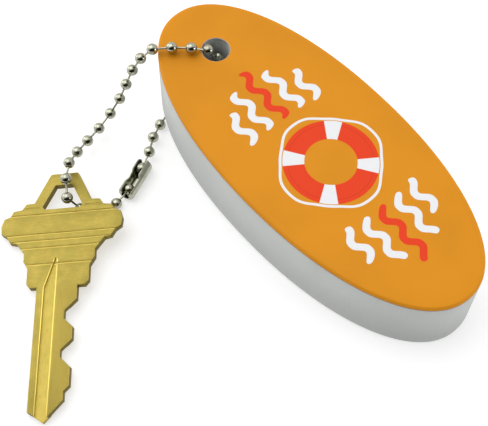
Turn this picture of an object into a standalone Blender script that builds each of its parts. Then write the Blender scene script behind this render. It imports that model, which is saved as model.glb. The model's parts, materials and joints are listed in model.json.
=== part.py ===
"""A foam float on a ball chain, with a house key threaded on the chain, lying on a table.

Metres, +Z up. The origin is the middle of the float's flat underside, +X runs along the float away from
its hole. One run of the chain passes under the float, so the float lies a little tilted, and another
passes under the key's bow, so the key does too.
"""

import math

import bmesh
import bpy
import numpy as np
from mathutils import Matrix, Vector

MM = 0.001
SEAT_GAP = 0.3 * MM

# Float: a slab of white foam with a printed face glued on
FLOAT_LENGTH = 86.0 * MM
FLOAT_WIDTH = 36.9 * MM
FOAM_THICKNESS = 15.6 * MM
FACE_THICKNESS = 0.9 * MM
FACE_GLUE_GAP = 0.05 * MM
OUTLINE_POWER = 2.12
OUTLINE_POINTS = 72
FOAM_EDGE = 0.7 * MM
FACE_EDGE = 0.6 * MM
HOLE_DIAMETER = 6.1 * MM
HOLE_LIP = 0.6 * MM
HOLE_FROM_END = 12.7 * MM
HOLE_SIDES = 24

# Ball chain: hollow beads, each with its link, whose head is caught in the next bead
BEAD_DIAMETER = 2.4 * MM
BEAD_WALL = 0.25 * MM
BEAD_BORE = 1.0 * MM
BEAD_SIDES = 12
BEAD_ARCS = 6
CAVITY_ARCS = 3
LINK_DIAMETER = 0.44 * MM
LINK_HEAD = 1.2 * MM
LINK_SIDES = 6
CHAIN_PITCH = 4.0 * MM

# The chain's way round, bead by bead. On the table: mm from the hole's place there, then the underside's
# height. Past the key's loop bar: mm across it. Up the float: shares of the hole's distance from the end,
# of the half width and of the height. Down the hole: shares of its radius and of the height.
CHAIN_TO_KEY = ((6.9, -33.1, 0.0), (6.2, -37.0, 0.0))
CHAIN_ACROSS_BAR = (2.8, 1.1, 1.1, 1.5)
CHAIN_TO_FLOAT = ((-6.9, -32.4, 3.3), (-8.3, -28.8, 2.4), (-9.4, -25.0, 2.2), (-10.1, -21.2, 3.5))
CHAIN_UP_FLOAT = ((-0.81, -0.99, 0.27), (-0.81, -0.88, 0.48), (-0.8, -0.78, 0.69), (-0.73, -0.68, 0.9))
CHAIN_ON_FACE = ((-0.59, -0.56), (-0.41, -0.39), (-0.2, -0.23))
CHAIN_IN_HOLE = (
    (-0.36, -0.35, 0.97),
    (-0.09, 0.31, 0.76),
    (0.4, 0.31, 0.54),
    (0.33, 0.37, 0.3),
    (-0.07, 0.5, 0.07),
)
CHAIN_UNDER_HOLE = (-0.95, 0.0)
CHAIN_UNDER_FLOAT = ((-5.8, -2.8), (-6.3, -6.8), (-4.1, -10.2))
CHAIN_TO_CLASP = ((-2.6, -13.9, 0.2), (-0.6, -17.3, 0.9), (2.0, -20.4, 1.2))

# Connector: a rolled sheet sleeve, open along its seam, that holds both end beads
CLASP_LENGTH = 9.2 * MM
CLASP_DIAMETER = 3.6 * MM
CLASP_WAIST = 2.9 * MM
CLASP_SHEET = 0.3 * MM
CLASP_MOUTH = 1.8 * MM
CLASP_ENDS = 0.35 * MM
CLASP_SLACK = 0.2 * MM
CLASP_WAIST_ENDS = (0.42, 0.14)
CLASP_SEAM = math.radians(75)
CLASP_SEAM_STEP = math.radians(24)
CLASP_STEPS = 18
CLASP_AZIMUTH = math.radians(113.5)
CLASP_ROLL = math.radians(8)
CLASP_FROM_HOLE = Vector((5.05 * MM, -26.5 * MM))

# Key
KEY_THICKNESS = 1.6 * MM
KEY_EDGE = 0.25 * MM
BOW_WIDTH = 25.8 * MM
BOW_HEIGHT = 26.1 * MM
BOW_BAND = 1.7 * MM
BAND_TOP = 11.6 * MM
BAND_TAPER = 0.2 * MM
BOW_SHOULDER = 15.0 * MM
SHOULDER_TOP = 18.2 * MM
SHOULDER_FOOT = 20.0 * MM
BOW_NECK = 13.0 * MM
NECK_TOP = 21.7 * MM
NECK_CORNER = (0.8 * MM, 1.0 * MM)
LOOP_TOP = 6.4 * MM
LOOP_FOOT = 12.2 * MM
LOOP_HEIGHT = 6.6 * MM
LOOP_BAR = 2.8 * MM
LOOP_CORNER = (0.4 * MM, 0.5 * MM)
LOOP_HOLE_TOP = 3.6 * MM
LOOP_HOLE_FOOT = 8.6 * MM
LOOP_HOLE_HEIGHT = 5.6 * MM
LOOP_HOLE_CORNER = 0.6 * MM
UPPER_STEPS = ((0.26, 0.02), (0.38, 0.27), (0.65, 0.32), (0.73, 0.56), (0.92, 0.65))  # shares across, down
LOWER_STEPS = ((0.24, 0.18), (0.39, 0.46), (0.66, 0.52))
BLADE_LENGTH = 28.0 * MM
BLADE_WIDTH = 8.5 * MM
TIP_LENGTH = 2.2 * MM
TIP_OFFSET = 1.0 * MM
TIP_ROUND = (0.8 * MM, 0.9 * MM)
TIP_SIDE = 1.5 * MM
CUT_SLOPE = 1.0
CREST_DROP = 0.45 * MM
CUTS = ((6.1, 1.8, 2.3), (14.3, 1.5, 2.6), (22.9, 1.8, 1.5))  # mm from the shoulder, flat, depth
GROOVE_DEPTH = 0.4 * MM
GROOVE_WIDTH = 2.3 * MM
GROOVE_FROM_MIDDLE = 1.5 * MM
GROOVE_IN_BOW = 6.5 * MM
GROOVE_LEAD = 1.0 * MM
KEY_YAW = math.radians(50.1)
KEY_FROM_HOLE = Vector((-3.6 * MM, -38.3 * MM))
CHAIN_UNDER_BOW = (5.2 * MM, -0.6 * MM)

# Worked-out places
HALF_LENGTH = FLOAT_LENGTH / 2
HOLE_X = HOLE_FROM_END - HALF_LENGTH
FACE_BOTTOM = FOAM_THICKNESS + FACE_GLUE_GAP
FLOAT_TOP = FACE_BOTTOM + FACE_THICKNESS
BEAD_RADIUS = BEAD_DIAMETER / 2
FLAT_END = HALF_LENGTH - FOAM_EDGE
FLOAT_TILT = math.asin((BEAD_DIAMETER + SEAT_GAP) / (FLAT_END - HOLE_X))
TABLE_Z = -FLAT_END * math.sin(FLOAT_TILT) - FOAM_EDGE * (1 - math.cos(FLOAT_TILT))
FLOAT_FRAME = Matrix.Rotation(FLOAT_TILT, 4, "Y")
HOLE_ON_TABLE = (FLOAT_FRAME @ Vector((HOLE_X, 0, 0))).xy
BOW_FOOT = LOOP_BAR / 2 - BOW_HEIGHT
BLADE_END = BOW_FOOT - BLADE_LENGTH
LOOP_FOOT_Y = LOOP_BAR / 2 - LOOP_HEIGHT
LOOP_HOLE_TOP_Y = -LOOP_BAR / 2
LOOP_HOLE_FOOT_Y = LOOP_HOLE_TOP_Y - LOOP_HOLE_HEIGHT
BAND_Y = LOOP_BAR / 2 - BAND_TOP
CLASP_BEAD_AT = CLASP_LENGTH / 2 - CLASP_SHEET - BEAD_RADIUS - CLASP_SLACK

COLLECTION = "floating_keychain"
CUTTERS = "cutters"


def new_collection(name):
    collection = bpy.data.collections.new(name)
    bpy.context.scene.collection.children.link(collection)
    return collection


def material(name, colour, roughness, metallic):
    made = bpy.data.materials.new(name)
    made.use_nodes = True
    shader = made.node_tree.nodes["Principled BSDF"]
    shader.inputs["Base Color"].default_value = (*colour, 1)
    shader.inputs["Roughness"].default_value = roughness
    shader.inputs["Metallic"].default_value = metallic
    return made


def add_object(name, mesh, frame=None, finish=None, collection=COLLECTION):
    """An object in its collection; a cutter's frame is drawn as wire and never rendered."""
    obj = bpy.data.objects.new(name, mesh)
    bpy.data.collections[collection].objects.link(obj)
    obj.matrix_world = frame or Matrix()
    if finish and not mesh.materials:
        mesh.materials.append(finish)
    if collection == CUTTERS:
        obj.hide_render = True
        obj.display_type = "WIRE"
    return obj


def slab_mesh(name, outline, bottom, top, edges=()):
    """A flat outline raised from bottom to top; edges lists (height, radius) of rims to round."""
    bm = bmesh.new()
    face = bm.faces.new([bm.verts.new((x, y, bottom)) for x, y in outline])
    raised = bmesh.ops.extrude_face_region(bm, geom=[face])["geom"]
    lifted = [v for v in raised if isinstance(v, bmesh.types.BMVert)]
    bmesh.ops.translate(bm, verts=lifted, vec=(0, 0, top - bottom))
    bmesh.ops.recalc_face_normals(bm, faces=bm.faces)
    for height, radius in edges:
        rim = [e for e in bm.edges if all(abs(v.co.z - height) < 1e-7 for v in e.verts)]
        bmesh.ops.bevel(bm, geom=rim, offset=radius, segments=2, profile=0.5, affect="EDGES")
    mesh = bpy.data.meshes.new(name)
    bm.to_mesh(mesh)
    bm.free()
    return mesh


def profile_mesh(name, points):
    """An open line of (radius, height) points, for a Screw to turn about Z."""
    mesh = bpy.data.meshes.new(name)
    mesh.from_pydata([(r, 0, z) for r, z in points], [(i, i + 1) for i in range(len(points) - 1)], [])
    return mesh


def turn(obj, sides, angle=math.tau):
    """Turns a profile about the object's Z axis."""
    screw = obj.modifiers.new("turned", "SCREW")
    screw.axis = "Z"
    screw.angle = angle
    screw.steps = sides
    screw.render_steps = sides
    screw.use_merge_vertices = True
    screw.merge_threshold = 1e-6
    screw.use_smooth_shade = True


def combine(obj, other, operation):
    """Cuts or joins another object by an exact Boolean."""
    boolean = obj.modifiers.new(other.name, "BOOLEAN")
    boolean.operation = operation
    boolean.solver = "EXACT"
    boolean.object = other


def arc(radius, start, end, steps):
    """(radius, height) points of a circle about the origin, by angle from +Z."""
    angles = [start + (end - start) * i / steps for i in range(steps + 1)]
    return [(radius * math.sin(a), radius * math.cos(a)) for a in angles]


def frame_along(direction, place, roll_guide=Vector((0, 0, 1))):
    """A frame at a place whose Z is a direction and whose X leans towards the guide."""
    z = Vector(direction).normalized()
    y = z.cross(roll_guide)
    y = y.normalized() if y.length > 1e-6 else Vector((0, 1, 0))
    x = y.cross(z)
    turned = Matrix((x, y, z)).transposed().to_4x4()
    turned.translation = place
    return turned


def float_outline():
    """The float's superellipse, by its power."""
    points = []
    for i in range(OUTLINE_POINTS):
        a = math.tau * i / OUTLINE_POINTS
        c, s = math.cos(a), math.sin(a)
        x = math.copysign(abs(c) ** (2 / OUTLINE_POWER), c) * HALF_LENGTH
        y = math.copysign(abs(s) ** (2 / OUTLINE_POWER), s) * FLOAT_WIDTH / 2
        points.append((x, y))
    return points


def make_float(foam, print_ink):
    """The foam body and its printed face, both bored by one cutter with a rounded mouth at each end."""
    outline = float_outline()
    body = slab_mesh("foam_float", outline, 0, FOAM_THICKNESS, [(0, FOAM_EDGE)])
    face = slab_mesh("printed_face", outline, FACE_BOTTOM, FLOAT_TOP, [(FLOAT_TOP, FACE_EDGE)])
    bore = HOLE_DIAMETER / 2
    mouth = bore + HOLE_LIP
    past = 2 * HOLE_LIP
    profile = [
        (0, FLOAT_TOP + past),
        (mouth, FLOAT_TOP + past),
        (mouth, FLOAT_TOP),
        (bore + HOLE_LIP * 0.3, FLOAT_TOP - HOLE_LIP * 0.3),
        (bore, FLOAT_TOP - HOLE_LIP),
        (bore, HOLE_LIP),
        (bore + HOLE_LIP * 0.3, HOLE_LIP * 0.3),
        (mouth, 0),
        (mouth, -past),
        (0, -past),
    ]
    place = FLOAT_FRAME @ Matrix.Translation((HOLE_X, 0, 0))
    cutter = add_object("hole_cutter", profile_mesh("hole_cutter", profile), place, None, CUTTERS)
    turn(cutter, HOLE_SIDES)
    for mesh, finish in ((body, foam), (face, print_ink)):
        obj = add_object(mesh.name, mesh, FLOAT_FRAME, finish)
        combine(obj, cutter, "DIFFERENCE")


def stepped(start, end, shares):
    """The bow's edge from one corner to another, its steps at shares of the way across and down."""
    across, down = end[0] - start[0], end[1] - start[1]
    return [(start[0] + across * x, start[1] + down * y) for x, y in ((0, 0), *shares, (1, 1))]


def key_outline():
    """The key seen from above, its loop bar's middle at the origin, its blade down -Y."""
    top = LOOP_BAR / 2
    half, shoulder, neck = BOW_WIDTH / 2, BOW_SHOULDER / 2, BOW_NECK / 2
    side = [(LOOP_TOP / 2 - LOOP_CORNER[0], top), (LOOP_TOP / 2, top - LOOP_CORNER[1])]
    side += stepped((LOOP_FOOT / 2, LOOP_FOOT_Y), (half, BAND_Y), UPPER_STEPS)
    band = (half - BAND_TAPER, BAND_Y - BOW_BAND)
    side += stepped(band, (shoulder, top - SHOULDER_TOP), LOWER_STEPS)
    side += [(shoulder, top - SHOULDER_FOOT), (neck, top - NECK_TOP)]
    side += [(neck, BOW_FOOT + NECK_CORNER[1]), (neck - NECK_CORNER[0], BOW_FOOT)]
    edge, crest = BLADE_WIDTH / 2, BLADE_WIDTH / 2 - CREST_DROP
    blade = [(edge, BOW_FOOT)]
    for at, flat, depth in CUTS:
        middle, level = BOW_FOOT - at * MM, flat * MM / 2
        root = edge - depth * MM
        run = (crest - root) * CUT_SLOPE
        first = edge if at == CUTS[0][0] else crest
        blade += [(first, middle + level + run + (first - crest) * CUT_SLOPE), (root, middle + level)]
        blade.append((root, middle - level))
        if at != CUTS[-1][0]:
            blade.append((crest, middle - level - run))
    tip = [(-TIP_OFFSET + TIP_ROUND[0], BLADE_END + TIP_ROUND[1]), (-TIP_OFFSET, BLADE_END)]
    tip += [(-TIP_OFFSET - TIP_SIDE, BLADE_END + TIP_LENGTH / 2), (-edge, BLADE_END + TIP_LENGTH)]
    left = [(-x, y) for x, y in reversed(side)]
    return list(reversed(side + blade + tip + [(-edge, BOW_FOOT)] + left))


def key_frame():
    """Where the key lies: on its band's left corner and its tip, its bow held up by the chain under it."""
    low = Vector((-BOW_WIDTH / 2, BAND_Y, -KEY_THICKNESS / 2))
    tip = Vector((-BLADE_WIDTH / 2, BLADE_END + TIP_LENGTH, -KEY_THICKNESS / 2))
    line = (tip - low).normalized()
    held = Vector((CHAIN_UNDER_BOW[0], LOOP_HOLE_FOOT_Y + CHAIN_UNDER_BOW[1], -KEY_THICKNESS / 2)) - low
    reach = (held - line * held.dot(line)).length
    lean = Matrix.Rotation(math.asin((BEAD_DIAMETER + SEAT_GAP) / reach), 4, line)
    turned = Matrix.Rotation(KEY_YAW, 4, "Z") @ lean
    place = turned @ low
    at = HOLE_ON_TABLE + KEY_FROM_HOLE
    turned.translation = (at.x, at.y, TABLE_Z - place.z)
    return turned


def make_key(brass):
    """The key: a stamped blank with its loop hole, milled grooves and bitting."""
    half = KEY_THICKNESS / 2
    frame = key_frame()
    blank = slab_mesh("house_key", key_outline(), -half, half, [(half, KEY_EDGE), (-half, KEY_EDGE)])
    key = add_object("house_key", blank, frame, brass)
    top, foot = LOOP_HOLE_TOP / 2, LOOP_HOLE_FOOT / 2
    low, ease = LOOP_HOLE_FOOT_Y, LOOP_HOLE_CORNER
    hole = [(-top, LOOP_HOLE_TOP_Y), (-foot, low + ease), (-foot + ease, low)]
    hole += [(foot - ease, low), (foot, low + ease), (top, LOOP_HOLE_TOP_Y)]
    cutter = slab_mesh("loop_cutter", hole, -KEY_THICKNESS, KEY_THICKNESS)
    combine(key, add_object("loop_cutter", cutter, frame, None, CUTTERS), "DIFFERENCE")
    start, end = BOW_FOOT + GROOVE_IN_BOW, BLADE_END - KEY_THICKNESS
    for side in (1, -1):
        middle = -GROOVE_FROM_MIDDLE * side
        wide = GROOVE_WIDTH / 2
        groove = [(middle + wide * side, start - GROOVE_LEAD), (middle + wide * 0.7 * side, start)]
        groove += [(middle - wide * side, BOW_FOOT), (middle - wide * side, end), (middle + wide * side, end)]
        floor = half - GROOVE_DEPTH
        name = "groove_cutter_top" if side > 0 else "groove_cutter_under"
        low, high = sorted((floor * side, (half + GROOVE_DEPTH) * side))
        cutter = add_object(name, slab_mesh(name, groove, low, high), frame, None, CUTTERS)
        combine(key, cutter, "DIFFERENCE")
    return frame


def chain_points(key, clasp):
    """The middle of each bead in world space, from one end of the connector round to the other."""
    beside = LOOP_BAR / 2 + BEAD_RADIUS + SEAT_GAP
    over = math.hypot(LOOP_BAR / 2, KEY_THICKNESS / 2) + BEAD_RADIUS
    under = -KEY_THICKNESS / 2 - BEAD_RADIUS - SEAT_GAP
    resting = BEAD_RADIUS + SEAT_GAP

    def on_table(x, y, height=0.0):
        z = TABLE_Z + BEAD_RADIUS + height * MM
        return Vector((HOLE_ON_TABLE.x + x * MM, HOLE_ON_TABLE.y + y * MM, z))

    def by_float(x, y, height):
        return FLOAT_FRAME @ Vector((HOLE_X + x * HOLE_FROM_END, y * FLOAT_WIDTH / 2, height))

    def in_hole(x, y, height):
        return FLOAT_FRAME @ Vector((HOLE_X + x * HOLE_DIAMETER / 2, y * HOLE_DIAMETER / 2, height))

    past_bar = (
        (LOOP_HOLE_FOOT_Y + BEAD_RADIUS, under + BEAD_RADIUS * 0.4),
        (-beside - BEAD_RADIUS * 1.7, KEY_THICKNESS),
        (-BEAD_RADIUS * 0.8, over + SEAT_GAP * 0.7),
        (beside + SEAT_GAP / 2, over - SEAT_GAP * 0.8),
    )
    points = [clasp @ Vector((0, 0, -CLASP_BEAD_AT))]
    points += [on_table(*place) for place in CHAIN_TO_KEY]
    points += [key @ Vector((x * MM, y, z)) for x, (y, z) in zip(CHAIN_ACROSS_BAR, past_bar)]
    points += [on_table(*place) for place in CHAIN_TO_FLOAT]
    points += [by_float(x, y, share * FLOAT_TOP) for x, y, share in CHAIN_UP_FLOAT]
    points += [by_float(x, y, FLOAT_TOP + resting) for x, y in CHAIN_ON_FACE]
    points += [in_hole(x, y, share * FLOAT_TOP) for x, y, share in CHAIN_IN_HOLE]
    points.append(in_hole(*CHAIN_UNDER_HOLE, -resting))
    points += [on_table(*place) for place in CHAIN_UNDER_FLOAT + CHAIN_TO_CLASP]
    return np.array([*points, clasp @ Vector((0, 0, CLASP_BEAD_AT))])


def smooth_line(points, fineness=60):
    """A dense Catmull-Rom curve through the points, spaced by the root of their distance."""
    ends = np.vstack([2 * points[0] - points[1], points, 2 * points[-1] - points[-2]])
    steps = np.sqrt(np.linalg.norm(np.diff(ends, axis=0), axis=1))
    knots = np.concatenate([[0], np.cumsum(steps)])
    line = []
    for i in range(1, len(ends) - 2):
        t0, t1, t2, t3 = knots[i - 1 : i + 3]
        p0, p1, p2, p3 = ends[i - 1 : i + 3]
        t = np.linspace(t1, t2, fineness, endpoint=False)[:, None]
        a1 = ((t1 - t) * p0 + (t - t0) * p1) / (t1 - t0)
        a2 = ((t2 - t) * p1 + (t - t1) * p2) / (t2 - t1)
        a3 = ((t3 - t) * p2 + (t - t2) * p3) / (t3 - t2)
        b1 = ((t2 - t) * a1 + (t - t0) * a2) / (t2 - t0)
        b2 = ((t3 - t) * a2 + (t - t1) * a3) / (t3 - t1)
        line.append(((t2 - t) * b1 + (t - t1) * b2) / (t2 - t1))
    return np.vstack([*line, points[-1:]])


def paces(line, pitch, count):
    """Walks the line in straight paces of one length; gives the points and how far the walk got."""
    places, at = [line[0]], 0
    for _ in range(count):
        away = np.linalg.norm(line[at:] - places[-1], axis=1)
        past = np.flatnonzero(away > pitch)
        if not len(past):
            return places, len(line) + (pitch - away[-1]) / pitch
        step = past[0]
        share = (pitch - away[step - 1]) / (away[step] - away[step - 1])
        places.append(line[at + step - 1] + share * (line[at + step] - line[at + step - 1]))
        at += step
    return places, at


def bead_places(line):
    """Beads a pitch apart along the line, the pitch eased so that the last lands on its end."""
    length = np.linalg.norm(np.diff(line, axis=0), axis=1).sum()
    count = round(length / (CHAIN_PITCH * 1.012))
    low, high = length / count * 0.9, length / count
    for _ in range(50):
        pitch = (low + high) / 2
        _, reached = paces(line, pitch, count)
        low, high = (low, pitch) if reached >= len(line) - 1 else (pitch, high)
    places, _ = paces(line, low, count)
    return [Vector(p) for p in places[:-1]] + [Vector(line[-1])], low


def clasp_frame():
    """The connector lies on the table, its length along Z of its own frame and its seam up."""
    along = Vector((math.cos(CLASP_AZIMUTH), math.sin(CLASP_AZIMUTH), 0))
    at = HOLE_ON_TABLE + CLASP_FROM_HOLE
    place = Vector((at.x, at.y, TABLE_Z + CLASP_DIAMETER / 2))
    return frame_along(along, place) @ Matrix.Rotation(CLASP_ROLL, 4, "Z")


def make_clasp(nickel, frame):
    """The connector: one sheet rolled round both end beads, its seam pinched in at the waist.

    The seam steps sideways at the half where a bead goes in, and both ends are turned in.
    """
    half, wide = CLASP_LENGTH / 2, CLASP_DIAMETER / 2
    upper = [(CLASP_MOUTH / 2, half, 0), (wide - CLASP_ENDS, half, 0), (wide, half - CLASP_ENDS, 0)]
    upper += [(wide, half * CLASP_WAIST_ENDS[0], 0), (wide, half * CLASP_WAIST_ENDS[1], wide - CLASP_WAIST / 2)]
    rows = upper + [(r, -z, pinch) for r, z, pinch in reversed(upper)]
    points, faces = [], []
    for radius, z, pinch in rows:
        start = CLASP_SEAM / 2 - (CLASP_SEAM_STEP if z > 0 else 0)
        for i in range(CLASP_STEPS + 1):
            a = start + (math.tau - CLASP_SEAM) * i / CLASP_STEPS
            r = radius - pinch * (1 + math.cos(a)) / 2
            points.append((r * math.cos(a), r * math.sin(a), z))
    for row in range(len(rows) - 1):
        low, high = row * (CLASP_STEPS + 1), (row + 1) * (CLASP_STEPS + 1)
        faces += [(low + i, high + i, high + i + 1, low + i + 1) for i in range(CLASP_STEPS)]
    mesh = bpy.data.meshes.new("chain_clasp")
    mesh.from_pydata(points, [], faces)
    clasp = add_object("chain_clasp", mesh, frame, nickel)
    sheet = clasp.modifiers.new("sheet", "SOLIDIFY")
    sheet.thickness = CLASP_SHEET
    sheet.offset = -1
    sheet.use_even_offset = True


def make_chain(nickel, key, clasp):
    """Every bead with its link: the bead's bore faces the link that comes in, whose head it holds."""
    places, pitch = bead_places(smooth_line(chain_points(key, clasp)))
    bore = BEAD_BORE / 2
    cavity = BEAD_RADIUS - BEAD_WALL
    shell = arc(cavity, math.pi, math.asin(bore / cavity), CAVITY_ARCS)
    shell += arc(BEAD_RADIUS, math.asin(bore / BEAD_RADIUS), math.pi, BEAD_ARCS)
    shell[0], shell[-1] = (0, -cavity), (0, -BEAD_RADIUS)
    bead_mesh = profile_mesh("bead", shell)
    head, rod = LINK_HEAD / 2, LINK_DIAMETER / 2
    link = [(r, z + pitch) for r, z in arc(head, 0, math.pi - math.asin(rod / head), CAVITY_ARCS)]
    root = BEAD_RADIUS - BEAD_WALL / 2
    link_mesh = profile_mesh("link", link + [(rod, root), (0, root)])
    for i, place in enumerate(places):
        to_next = places[i + 1] - place if i + 1 < len(places) else place - places[i - 1]
        to_last = places[i - 1] - place if i else place - places[i + 1]
        bead = add_object(f"chain_bead_{i + 1:02d}", bead_mesh, frame_along(to_last, place), nickel)
        turn(bead, BEAD_SIDES)
        if i + 1 < len(places):
            frame = frame_along(to_next, place)
            rod_of = add_object(f"link_{i + 1:02d}", link_mesh, frame, None, CUTTERS)
            turn(rod_of, LINK_SIDES)
            combine(bead, rod_of, "UNION")


def main():
    for obj in list(bpy.data.objects):
        bpy.data.objects.remove(obj, do_unlink=True)
    for name in (COLLECTION, CUTTERS):
        new_collection(name)
    foam = material("white foam", (0.62, 0.65, 0.68), 0.8, 0.0)
    print_ink = material("orange print", (0.75, 0.3, 0.02), 0.45, 0.0)
    brass = material("brass", (0.55, 0.42, 0.12), 0.35, 1.0)
    nickel = material("nickel plate", (0.6, 0.56, 0.5), 0.2, 1.0)
    make_float(foam, print_ink)
    key = make_key(brass)
    clasp = clasp_frame()
    make_clasp(nickel, clasp)
    make_chain(nickel, key, clasp)


main()
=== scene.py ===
"""A foam key float on a ball chain with its connector and a house key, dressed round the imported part."""

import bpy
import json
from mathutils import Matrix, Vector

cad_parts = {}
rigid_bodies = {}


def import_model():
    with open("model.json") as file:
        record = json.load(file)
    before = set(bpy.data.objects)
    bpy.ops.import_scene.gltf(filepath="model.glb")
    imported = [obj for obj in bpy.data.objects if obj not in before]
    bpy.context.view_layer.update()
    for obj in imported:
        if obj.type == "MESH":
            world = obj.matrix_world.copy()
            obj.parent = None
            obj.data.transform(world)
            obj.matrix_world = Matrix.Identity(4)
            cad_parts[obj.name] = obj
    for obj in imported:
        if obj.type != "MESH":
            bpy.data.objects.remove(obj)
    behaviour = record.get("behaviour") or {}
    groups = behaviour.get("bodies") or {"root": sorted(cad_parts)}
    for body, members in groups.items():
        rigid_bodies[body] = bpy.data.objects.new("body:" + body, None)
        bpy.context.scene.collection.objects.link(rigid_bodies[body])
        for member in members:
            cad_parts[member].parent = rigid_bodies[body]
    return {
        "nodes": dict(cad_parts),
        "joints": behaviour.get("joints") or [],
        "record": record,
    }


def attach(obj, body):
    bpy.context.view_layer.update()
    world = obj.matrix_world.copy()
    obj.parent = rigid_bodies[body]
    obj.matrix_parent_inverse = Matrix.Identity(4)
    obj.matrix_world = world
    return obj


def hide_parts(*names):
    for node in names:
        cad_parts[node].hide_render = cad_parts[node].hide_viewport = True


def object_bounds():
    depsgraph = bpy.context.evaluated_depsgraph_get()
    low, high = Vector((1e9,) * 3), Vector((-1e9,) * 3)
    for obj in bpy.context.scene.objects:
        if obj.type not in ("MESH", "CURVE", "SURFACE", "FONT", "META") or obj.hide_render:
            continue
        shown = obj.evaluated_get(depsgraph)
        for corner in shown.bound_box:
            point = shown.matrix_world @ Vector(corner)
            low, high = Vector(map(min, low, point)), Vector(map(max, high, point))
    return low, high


bl_info = {
    "name": "Foam key float",
    "version": (1, 0, 0),
    "blender": (4, 5, 0),
    "location": "View3D > Sidebar > Key float",
    "description": "Builds a foam key float on a ball chain with a house key, round its packed frame",
    "category": "Add Mesh",
}

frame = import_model()

import json
import math

import bmesh
import bpy
import numpy as np
from bpy.props import FloatProperty, FloatVectorProperty, IntProperty, PointerProperty
from mathutils import Matrix, Vector

MM = 0.001
CAD_BOX = [list(corner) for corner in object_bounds()]
BEADS = sorted(name for name in frame["nodes"] if name.startswith("chain_bead_"))


# ---------------------------------------------------------------- shader maths


class Field:
    """A value, vector or colour in a finish; arithmetic on it adds the nodes."""

    def __init__(self, finish, socket):
        self.finish = finish
        self.socket = socket

    def math(self, operation, *values):
        return self.finish.node("Math", {"operation": operation}, dict(enumerate((self, *values))))

    def __add__(self, other):
        return self.math("ADD", other)

    def __sub__(self, other):
        return self.math("SUBTRACT", other)

    def __rsub__(self, other):
        return self.finish.node("Math", {"operation": "SUBTRACT"}, {0: other, 1: self})

    def __mul__(self, other):
        return self.math("MULTIPLY", other)

    def __truediv__(self, other):
        return self.math("DIVIDE", other)

    def __abs__(self):
        return self.math("ABSOLUTE")

    __radd__ = __add__
    __rmul__ = __mul__

    def sine(self):
        return self.math("SINE")

    def most(self, other):
        return self.math("MAXIMUM", other)

    def length_with(self, other):
        return (self * self + other * other).math("SQRT")

    def inside(self, soft):
        """1 where this distance is below zero, 0 where it is above, with a soft edge."""
        return self.ramp(-soft, soft, 1.0, 0.0)

    def ramp(self, low, high, start=0.0, end=1.0):
        """Eases from start to end as this value goes from low to high."""
        ends = {"Value": self, "From Min": low, "From Max": high, "To Min": start, "To Max": end}
        return self.finish.node("MapRange", {"interpolation_type": "SMOOTHSTEP"}, ends)


class Finish:
    """A material or world with one shader; constants go on its sockets, fields are linked to them."""

    def __init__(self, owner, shader="Principled BSDF", **constants):
        self.owner = owner
        self.owner.use_nodes = True
        self.tree = self.owner.node_tree
        self.shader = self.tree.nodes[shader]
        self.put(**constants)

    def node(self, kind, settings=None, inputs=None, output=0):
        made = self.tree.nodes.new("ShaderNode" + kind)
        for name, value in (settings or {}).items():
            setattr(made, name, value)
        for name, value in (inputs or {}).items():
            self.feed(made.inputs[name], value)
        return Field(self, made.outputs[output])

    def feed(self, socket, value):
        if isinstance(value, Field):
            self.tree.links.new(value.socket, socket)
        else:
            socket.default_value = value

    def place(self, within=Matrix()):
        """The piece's own coordinates in millimetres, or those of a frame within them."""
        back = within.inverted()
        own = self.node("TexCoord", output="Object")
        ends = {"Vector": own, "Location": back.translation / MM}
        ends |= {"Rotation": back.to_euler(), "Scale": (1 / MM,) * 3}
        return self.node("Mapping", {"vector_type": "POINT"}, ends)

    def facing(self, within):
        """Which way the surface faces, in a frame within the piece's own coordinates."""
        ends = {"Vector": self.node("TexCoord", output="Normal"), "Rotation": within.inverted().to_euler()}
        return self.node("Mapping", {"vector_type": "VECTOR"}, ends)

    def stretched(self, vector, x, y, z):
        return self.node("VectorMath", {"operation": "MULTIPLY"}, {0: vector, 1: (x, y, z)})

    def axes(self, vector):
        parts = self.tree.nodes.new("ShaderNodeSeparateXYZ")
        self.feed(parts.inputs[0], vector)
        return [Field(self, parts.outputs[i]) for i in range(3)]

    def mixed(self, first, second, share):
        """One colour over another, by a share from 0 to 1."""
        colours = [(*c, 1) if isinstance(c, tuple) and len(c) == 3 else c for c in (first, second)]
        ends = {0: share, 6: colours[0], 7: colours[1]}
        return self.node("Mix", {"data_type": "RGBA"}, ends, 2)

    def noise(self, vector, scale, detail=2.0, roughness=0.5):
        ends = {"Vector": vector, "Scale": scale, "Detail": detail, "Roughness": roughness}
        return self.node("TexNoise", {}, ends)

    def cells(self, vector, scale):
        return self.node("TexVoronoi", {}, {"Vector": vector, "Scale": scale})

    def bumped(self, height, distance, strength=1.0):
        ends = {"Height": height, "Distance": distance, "Strength": strength}
        self.put(Normal=self.node("Bump", {}, ends))

    def put(self, **fields):
        for socket, field in fields.items():
            self.feed(self.shader.inputs[socket.replace("_", " ")], field)


# ---------------------------------------------------------------- mesh helpers


def piece(name, mesh, place, finish, body, nodes):
    """A finished piece, put in its place: it rides on its body and stands for its nodes."""
    mesh.transform(place)
    obj = bpy.data.objects.new(name, mesh)
    bpy.context.scene.collection.objects.link(obj)
    mesh.materials.clear()
    mesh.materials.append(finish)
    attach(obj, body)
    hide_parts(*nodes)
    return obj


def node_points(name, place):
    """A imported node's points in a frame of its own, in metres."""
    mesh = frame["nodes"][name].data
    flat = np.empty(len(mesh.vertices) * 3, np.float32)
    mesh.vertices.foreach_get("co", flat)
    back = np.array(place.inverted(), float)
    return flat.reshape(-1, 3).astype(float) @ back[:3, :3].T + back[:3, 3]


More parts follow.
